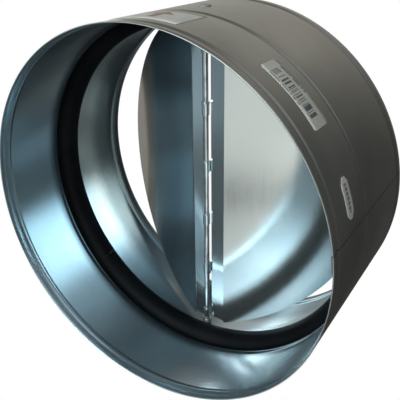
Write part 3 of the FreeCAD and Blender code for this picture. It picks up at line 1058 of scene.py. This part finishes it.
@dataclass
class Hinge:
    """The blades, their cranked leaves with rolled knuckles, and what turns them.

    The sections of a leaf are drawn for the right side, with the pin's axis at the origin.
    """

    pin_place: float = 77.0 * MM
    pin_radius: float = 2.0 * MM
    blade_radius: float = 119.6 * MM
    crank: float = 4.124 * MM
    blade_sheet: float = 0.8 * MM
    sheet: float = 0.6 * MM
    reach: float = 13.0 * MM
    flange: float = 14.0 * MM
    trim: float = 1.2 * MM
    relief: float = 3.5 * MM
    corner_cut: float = 2.4 * MM
    rim_round: float = 0.08 * MM
    rim_segments: int = 2
    rim_angle: float = 50.0
    knuckle_fit: float = 0.08 * MM
    knuckle_height: float = 8.0 * MM
    knuckle_foot: float = -115.6 * MM
    knuckle_pitch: float = 42.2 * MM
    knuckle_count: int = 3
    knuckle_sweep: float = 305.0
    knuckle_steps: int = 28
    left_open: float = 30.0
    right_open: float = 26.5
    wire_radius: float = 0.3 * MM
    coil_fit: float = 0.06 * MM
    turns: float = 5.0
    pitch: float = 0.7 * MM
    leg: float = 13.0 * MM
    spring_foot: float = 116.5 * MM
    spring_top: float = 123.15 * MM
    # Painted shade: the left blade is a darker, bluer copy of the blade sheet; toward its outer edge
    # it turns browner and less metallic.
    left_finish: Finish = BladeSheet(
        "left_blade_sheet", light=colour(0.36, 0.43, 0.46), dark=colour(0.28, 0.35, 0.38),
        rim=colour(0.62, 0.52, 0.44), rim_metal=0.75)
    right_finish: Finish = BladeSheet("right_blade_sheet")
    # Painted reflection: the leaves are a darker, bluer copy of the blade sheet, for the teal they
    # reflect.
    strip_finish: Finish = BladeSheet(
        "hinge_strip", light=colour(0.60, 0.68, 0.70), dark=colour(0.50, 0.58, 0.61), roughness=0.13)
    wire_finish: Finish = BrightWire("bright_wire")
    nylon: Finish = Nylon("bush_nylon")

    @property
    def knuckle_radius(self) -> float:
        """Give the outside of a knuckle."""
        return self.pin_radius + self.knuckle_fit + self.sheet

    @property
    def flange_front(self) -> float:
        """Give the flange's front face, behind the pin's axis."""
        return -self.crank + self.blade_sheet

    @property
    def fall(self) -> float:
        """Give how far the ramp falls for each step outwards."""
        return (self.knuckle_radius - self.flange_front - self.sheet) / self.reach

    def open_angle(self, side: Side) -> float:
        """Give how far a blade stands open, in degrees."""
        return self.left_open if side is Side.LEFT else self.right_open

    def at_rest(self, side: Side) -> Matrix:
        """Carry a closed blade's frame to where the blade rests."""
        turn = Matrix.Rotation(math.radians(side.value * self.open_angle(side)), 4, "Z")
        return Matrix.Translation((0.0, self.pin_place, 0.0)) @ turn

    def strip_profile(self) -> list[Point]:
        """Draw the folded strip's section.

        Returns:
            Its corners, out along the rear and back along the front, with the fold at numbers 1
            and 4.
        """
        slope = math.atan(self.fall)
        rear = self.knuckle_radius - self.relief * self.fall
        skin = self.sheet / math.cos(slope)
        rear_flange = self.flange_front + self.sheet
        return [
            (self.relief, rear),
            (self.reach, rear_flange),
            (self.reach + self.flange, rear_flange),
            (self.reach + self.flange, self.flange_front),
            (self.reach - self.sheet * math.tan(slope / 2), self.flange_front),
            (self.relief, rear - skin),
        ]

    def strip_mesh(self, side: Side) -> bpy.types.Mesh:
        """Fold the strip, with its ends trimmed round.

        Its inner corner is cut back at the end where the other blade's spring leg swings past.

        Args:
            side: the side of its blade.

        Returns:
            The mesh, in the closed blade's frame.
        """
        limit = self.blade_radius - self.trim
        corners = [(side.value * x, y) for x, y in self.strip_profile()]
        shape = bmesh.new()
        rims = []
        for sign in (-1, 1):
            rim = []
            for x, y in corners:
                height = math.sqrt(limit ** 2 - x ** 2)
                if sign == -side.value and abs(x) <= self.relief:
                    height -= self.corner_cut
                rim.append(shape.verts.new((x, y, sign * height)))
            rims.append(rim)
        join_rims(shape, *rims)
        for rim in rims:
            shape.faces.new((rim[0], rim[1], rim[4], rim[5]))
            shape.faces.new((rim[1], rim[2], rim[3], rim[4]))
        return close_shape("strip", shape)

    def knuckle_mesh(self, side: Side) -> bpy.types.Mesh:
        """Roll one knuckle: from the strip's tongue round the pin, and almost back to itself.

        Args:
            side: the side of its blade.

        Returns:
            The mesh, standing on the origin.
        """
        slope = math.degrees(math.atan(self.fall))
        start = 90.0 - slope
        sweep = (start, start + self.knuckle_sweep, self.knuckle_steps)
        outside = arc((0.0, 0.0), self.knuckle_radius, *sweep)
        inside = arc((0.0, 0.0), self.knuckle_radius - self.sheet, *sweep)
        root = self.relief + self.sheet
        rear = self.knuckle_radius - root * self.fall
        tongue = [(root, rear - self.sheet / math.cos(math.radians(slope))), (root, rear)]
        outline = [(side.value * x, y) for x, y in outside + inside[::-1] + tongue]
        shape = bmesh.new()
        rims = [[shape.verts.new((x, y, z)) for x, y in outline] for z in (0.0, self.knuckle_height)]
        join_rims(shape, *rims)
        facing = len(outside) + len(inside) - 1
        for rim in rims:
            for here in range(self.knuckle_steps):
                there = facing - here
                shape.faces.new((rim[here], rim[here + 1], rim[there - 1], rim[there]))
            shape.faces.new((rim[0], rim[facing], rim[facing + 1], rim[facing + 2]))
        return close_shape("knuckle", shape)

    def round_rim(self, piece: bpy.types.Object) -> None:
        """Break a sheet's sharp edges a little, so that they catch the light.

        Args:
            piece: the sheet's object, which gets a live Bevel.
        """
        bevel = piece.modifiers.new("edge", "BEVEL")
        bevel.width = self.rim_round
        bevel.segments = self.rim_segments
        bevel.limit_method = "ANGLE"
        bevel.angle_limit = math.radians(self.rim_angle)
        bevel.harden_normals = True

    def build_leaf(self, side: Side, rows: bpy.types.NodeTree) -> None:
        """Build one leaf: its folded strip, and its knuckles at every second pitch.

        Args:
            side: the side of its blade.
            rows: the group that repeats a knuckle.
        """
        first = self.knuckle_foot + (self.knuckle_pitch if side is Side.RIGHT else 0.0)
        row = make_object("knuckles", self.knuckle_mesh(side), ())
        run_group(
            row, rows, Count=self.knuckle_count, Step=(0.0, 0.0, 2 * self.knuckle_pitch),
            Material=self.strip_finish.material())
        knuckles = row.data
        knuckles.transform(Matrix.Translation((0.0, 0.0, first)))
        bpy.data.objects.remove(row)
        mesh = join_meshes(side.body + "_leaf", self.strip_mesh(side), knuckles)
        smooth(mesh, sharp_over=15.0)
        mesh.transform(self.at_rest(side))
        piece = make_object(side.body + "_leaf", mesh, (self.strip_finish,))
        self.round_rim(piece)
        settle(piece, side.body, "hinge_strip", side.name.lower() + "_hinge_leaf")

    def build_spring(self, side: Side, coils: bpy.types.NodeTree) -> None:
        """Wind one spring and set it in place between its bush and its blade.

        Args:
            side: the side of its blade.
            coils: the group that winds a spring.
        """
        slope = math.degrees(math.atan(self.fall))
        leg_turn = self.open_angle(side) - slope
        turns = self.turns - leg_turn / 360.0
        mean = self.knuckle_radius + self.coil_fit + self.wire_radius
        end = math.radians(-leg_turn)
        height = turns * self.pitch
        label = "upper_spring" if side is Side.RIGHT else "lower_spring"
        piece = make_object(label + "_wire", bpy.data.meshes.new(label), ())
        run_group(
            piece, coils, Turns=turns, Pitch=self.pitch, Coil_Radius=mean,
            Wire_Radius=self.wire_radius, Leg=self.leg,
            Upright_Leg=self.spring_top - self.spring_foot - self.wire_radius - height,
            Last_Point=(mean * math.cos(end), mean * math.sin(end), height),
            Material=self.wire_finish.material())
        smooth(piece.data, sharp_over=60.0)
        over = Matrix.Rotation(0.0 if side is Side.RIGHT else math.pi, 4, "Y")
        seat = Matrix.Translation((0.0, 0.0, self.spring_foot + self.wire_radius))
        turn = Matrix.Rotation(math.radians(90.0 + leg_turn), 4, "Z")
        pin = Matrix.Translation((0.0, self.pin_place, 0.0))
        piece.data.transform(pin @ over @ seat @ turn)
        sign = side.value
        fixed = (0.0, self.pin_place, sign * (self.spring_foot + self.wire_radius + height))
        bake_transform(piece)
        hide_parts(label)
        log.info("%s: %d faces up to %s", piece.name, len(piece.data.polygons), side.body)

    def dress_nodes(self, nodes: dict[str, bpy.types.Object]) -> None:
        """Give the rigid pieces that keep their own shape a finish.

        Args:
            nodes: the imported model's objects by name.
        """
        finishes = {"left_blade": self.left_finish, "right_blade": self.right_finish}
        steel = ("hinge_pin", "upper_washer", "lower_washer", "upper_spacer",
                 "left_stop_ring", "right_stop_ring")
        finishes.update(dict.fromkeys(steel, self.wire_finish))
        finishes.update(dict.fromkeys(("upper_bush", "lower_bush"), self.nylon))
        for name, finish in finishes.items():
            mesh = nodes[name].data
            mesh.materials.clear()
            mesh.materials.append(finish.material())
            log.info("%s: dressed in %s", name, finish.name)
        for side in Side:
            self.round_rim(nodes[side.body])

    def build(self, nodes: dict[str, bpy.types.Object]) -> None:
        """Build the leaves and springs, and dress the rest.

        Args:
            nodes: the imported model's objects by name.
        """
        rows, coils = row_group(), coil_group()
        for side in Side:
            self.build_leaf(side, rows)
            self.build_spring(side, coils)
        self.dress_nodes(nodes)


# Stickers


@dataclass(frozen=True)
class StickerPlan:
    """Where a sticker lies on the outer wall, how its corners end, and its print."""

    name: str
    node: str
    angle: float
    place: float
    width: float
    depth: float
    finish: Sticker
    chamfer: float = 0.0
    rounding: float = 0.0

    def inset(self, from_end: float) -> float:
        """Give how far the sides draw in near the sticker's ends.

        Args:
            from_end: the distance from the nearer end.

        Returns:
            The distance by which either side draws in.
        """
        if from_end < self.chamfer:
            return self.chamfer - from_end
        if from_end < self.rounding:
            return self.rounding - math.sqrt(self.rounding ** 2 - (self.rounding - from_end) ** 2)
        return 0.0


@dataclass
class Stickers:
    """The three stickers on the outer wall."""

    outer: float = CASING_RADIUS
    film: float = 0.12 * MM
    film_share: float = 0.8
    glue: float = 0.04 * MM
    columns: int = 48
    rows: int = 6
    plans: tuple[StickerPlan, ...] = (
        StickerPlan(
            "bar_sticker", "bar_label", 47.3, 32.4 * MM, 45.0 * MM, 18.2 * MM,
            Sticker("sticker_bars", printed=bars), rounding=2.0 * MM),
        StickerPlan(
            "size_sticker", "size_label", 18.3, 29.9 * MM, 24.4 * MM, 10.0 * MM,
            Sticker("sticker_size", printed=blocks), chamfer=3.4 * MM),
        StickerPlan(
            "arrow_sticker", "arrow_label", 91.0, 31.0 * MM, 45.0 * MM, 32.0 * MM,
            Sticker("sticker_arrow", ink=colour(0.30, 0.16, 0.10), printed=arrow)),
    )

    def point(self, plan: StickerPlan, across: float, along: float) -> tuple[Point3, Point]:
        """Find a point of a sticker on the wall.

        Args:
            plan: the sticker.
            across: how far across it the point lies, as a share.
            along: how far along it, as a share of what the corners leave there.

        Returns:
            The point, and its place on the print.
        """
        radius = self.outer + self.glue + self.film
        inset = plan.inset(min(across, 1 - across) * plan.width)
        depth = plan.place - plan.depth / 2 + inset + along * (plan.depth - 2 * inset)
        angle = math.radians(plan.angle) + (0.5 - across) * plan.width / self.outer
        place = (radius * math.cos(angle), depth, radius * math.sin(angle))
        return place, (across, (depth - plan.place) / plan.depth + 0.5)

    def build_one(self, plan: StickerPlan) -> None:
        """Lay one sticker as a thin curved film with its own print coordinates.

        Args:
            plan: the sticker.
        """
        shape = bmesh.new()
        layer = shape.loops.layers.uv.new("UVMap")
        grid = []
        for column in range(self.columns + 1):
            across = 0.5 - 0.5 * math.cos(math.pi * column / self.columns)
            line = []
            for row in range(self.rows + 1):
                place, mark = self.point(plan, across, row / self.rows)
                line.append((shape.verts.new(place), mark))
            grid.append(line)
        for here, there in zip(grid, grid[1:]):
            for row in range(self.rows):
                corners = (here[row], there[row], there[row + 1], here[row + 1])
                face = shape.faces.new([vertex for vertex, _ in corners])
                for loop, (_, mark) in zip(face.loops, corners):
                    loop[layer].uv = mark
        mesh = bpy.data.meshes.new(plan.name)
        shape.to_mesh(mesh)
        shape.free()
        if mesh.polygons[0].normal.dot(mesh.vertices[0].co) < 0:
            mesh.flip_normals()
        smooth(mesh)
        piece = make_object(plan.name, mesh, (plan.finish,))
        solid = piece.modifiers.new("film", "SOLIDIFY")
        solid.thickness = self.film * self.film_share
        solid.offset = -1.0
        settle(piece, "root", "sticker_film", plan.node)

    def build(self) -> None:
        """Lay every sticker."""
        for plan in self.plans:
            self.build_one(plan)


# The studio


@dataclass(frozen=True)
class Glow:
    """A soft bright area of the studio, seen in the direction toward.

    faint and full are the cosines at which it starts and is at its brightest.
    """

    toward: Point3
    faint: float
    full: float
    power: float
    tint: Point3

    def share(self, shader: Shader, way: Sock) -> Sock:
        """Give how much of the area's brightness each direction has.

        Args:
            shader: the world's shader.
            way: the direction.

        Returns:
            A share between 0 and 1.
        """
        toward = tuple(Vector(self.toward).normalized())
        cosine = shader.sock(
            "ShaderNodeVectorMath", "Value", {"operation": "DOT_PRODUCT"}, {0: way, 1: toward})
        return cosine.ease(self.faint, self.full)


@dataclass(frozen=True)
class Shade:
    """A dark level strip on one side of the studio, in front of the damper or behind it."""

    side: Side
    height: float
    half: float
    soft: float
    depth: float
    behind: bool = False
    side_soft: float = 0.05

    def share(self, aside: Sock, behind: Sock, up: Sock) -> Sock:
        """Give how much light the strip takes from each direction.

        Args:
            aside: the direction's part along +X.
            behind: its part along +Y.
            up: its part along +Z.

        Returns:
            A share between 0 and 1.
        """
        half_space = behind.above(0.0) if self.behind else behind.below(0.0)
        strip = up.band(self.height, self.half, self.soft) * half_space
        outward = aside * float(self.side.value)
        return strip * outward.ease(-self.side_soft, self.side_soft) * self.depth


@dataclass
class Studio:
    """The camera at the photograph's angle, the pale floor and the soft light.

    The camera's aim and distance are in casing radii, and its angles in degrees.
    """

    scale: float = CASING_RADIUS
    azimuth: float = 30.77
    elevation: float = 25.25
    roll: float = 0.03
    distance: float = 2.8548
    aim: Point3 = (0.2638, 0.3, 0.1557)
    focal_pixels: float = 566.9
    centre_pixel: Point = (217.3, 191.3)
    near_clip: float = 10.0 * MM
    floor_level: float = -125.6 * MM
    floor_reach: float = 3.0
    lamp_place: Point3 = (-0.3, -1.0, 0.5)
    lamp_size: float = 0.5
    lamp_power: float = 0.6
    fill: float = 0.03
    fill_tint: Point3 = (0.95, 0.98, 1.0)
    glows: tuple[Glow, ...] = (
        Glow((-0.20, -0.95, 0.24), 0.92, 0.985, 7.0, (0.80, 0.95, 1.0)),
        Glow((-0.30, -0.80, 0.52), 0.85, 0.97, 1.3, (0.78, 0.93, 1.0)),
        Glow((0.34, -0.85, 0.42), 0.85, 0.97, 1.6, (0.85, 0.95, 1.0)),
        Glow((0.47, -0.79, -0.38), 0.80, 0.95, 0.75, (0.97, 1.0, 0.96)),
        Glow((-0.85, -0.50, -0.15), 0.60, 1.0, 0.40, (0.72, 0.92, 1.0)),
        Glow((0.55, 0.00, 0.83), 0.75, 0.97, 0.6, (0.78, 0.92, 1.0)),
        Glow((-0.60, 0.70, 0.40), 0.28, 1.0, 0.52, (1.0, 0.97, 0.89)),
        Glow((-0.79, 0.585, 0.17), 0.98, 0.997, 5.0, (0.82, 0.95, 1.0)),
        Glow((0.58, -0.66, -0.48), 0.97, 0.995, 1.5, (1.0, 0.98, 0.94)),
    )
    shades: tuple[Shade, ...] = (
        Shade(Side.LEFT, -0.42, 0.07, 0.04, 0.7),
        Shade(Side.RIGHT, -0.435, 0.012, 0.025, 1.0),
        Shade(Side.LEFT, 0.80, 0.20, 0.08, 0.85, behind=True),
    )

    def place_camera(self) -> None:
        """Set the camera from its angles, its distance and the pixel that it points at."""
        data = bpy.data.cameras.new("camera")
        camera = link("camera", data)
        turn, rise = math.radians(self.azimuth), math.radians(self.elevation)
        back = Vector((
            math.sin(turn) * math.cos(rise), -math.cos(turn) * math.cos(rise), math.sin(rise)))
        camera.location = (Vector(self.aim) + back * self.distance) * self.scale
        look = (-back).to_track_quat("-Z", "Y").to_matrix().to_4x4()
        roll = Matrix.Rotation(math.radians(self.roll), 4, "Z")
        camera.matrix_world = Matrix.Translation(camera.location) @ look @ roll
        data.sensor_width = SENSOR_WIDTH
        data.lens = self.focal_pixels / IMAGE_SIDE * SENSOR_WIDTH
        half = IMAGE_SIDE / 2
        data.shift_x = (half - self.centre_pixel[0]) / IMAGE_SIDE
        data.shift_y = (self.centre_pixel[1] - half) / IMAGE_SIDE
        data.clip_start = self.near_clip
        bpy.context.scene.camera = camera

    def lay_floor(self) -> None:
        """Lay a wide floor that the camera sees as plain white."""
        reach, level = self.floor_reach, self.floor_level
        corners = [(-reach, -reach), (reach, -reach), (reach, reach), (-reach, reach)]
        mesh = bpy.data.meshes.new("floor")
        mesh.from_pydata([(x, y, level) for x, y in corners], [], [(0, 1, 2, 3)])
        floor = link("floor", mesh)
        material = bpy.data.materials.new("pale_floor")
        material.use_nodes = True
        shader = Shader(material.node_tree)
        seen = shader.sock("ShaderNodeLightPath", "Is Camera Ray")
        plain = shader.sock("ShaderNodeEmission", values={"Color": WHITE})
        clear = shader.sock("ShaderNodeBsdfTransparent")
        shown = shader.sock("ShaderNodeMixShader", values={0: seen, 1: clear, 2: plain})
        shader.node("ShaderNodeOutputMaterial", values={"Surface": shown})
        mesh.materials.append(material)

    def light_world(self) -> None:
        """Show the camera plain white, and light the damper from a few soft directions."""
        world = bpy.data.worlds.new("studio")
        bpy.context.scene.world = world
        world.use_nodes = True
        shader = Shader(world.node_tree)
        seen = shader.sock("ShaderNodeLightPath", "Is Camera Ray")
        way = shader.sock("ShaderNodeTexCoord", "Generated")
        aside, behind, up = shader.axes(way)
        left_over: SocketValue = 1.0
        for shade in self.shades:
            left_over = left_over - shade.share(aside, behind, up)
        total = shader.sock(
            "ShaderNodeBackground", values={"Color": colour(*self.fill_tint), "Strength": self.fill})
        for glow in self.glows:
            power = glow.share(shader, way) * left_over * glow.power
            part = shader.sock(
                "ShaderNodeBackground", values={"Color": colour(*glow.tint), "Strength": power})
            total = shader.sock("ShaderNodeAddShader", values={0: total, 1: part})
        white = shader.sock("ShaderNodeBackground", values={"Color": WHITE})
        shown = shader.sock("ShaderNodeMixShader", values={0: seen, 1: total, 2: white})
        shader.node("ShaderNodeOutputWorld", values={"Surface": shown})

    def hang_lamp(self) -> None:
        """Hang one soft square lamp that faces the damper."""
        data = bpy.data.lights.new("key_lamp", "AREA")
        data.size = self.lamp_size
        data.energy = self.lamp_power
        lamp = link("key_lamp", data)
        lamp.location = self.lamp_place
        lamp.rotation_euler = (-Vector(self.lamp_place)).to_track_quat("-Z", "Y").to_euler()

    def build(self) -> None:
        """Set up the studio."""
        bpy.context.scene.view_settings.view_transform = "Standard"
        self.place_camera()
        self.lay_floor()
        self.light_world()
        self.hang_lamp()


def main() -> None:
    """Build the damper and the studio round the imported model."""
    logging.basicConfig(level=logging.INFO, format="%(message)s")
    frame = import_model()
    Studio().build()
    Casing().build()
    Hinge().build(frame["nodes"])
    Stickers().build()


if __name__ == "__main__":
    main()
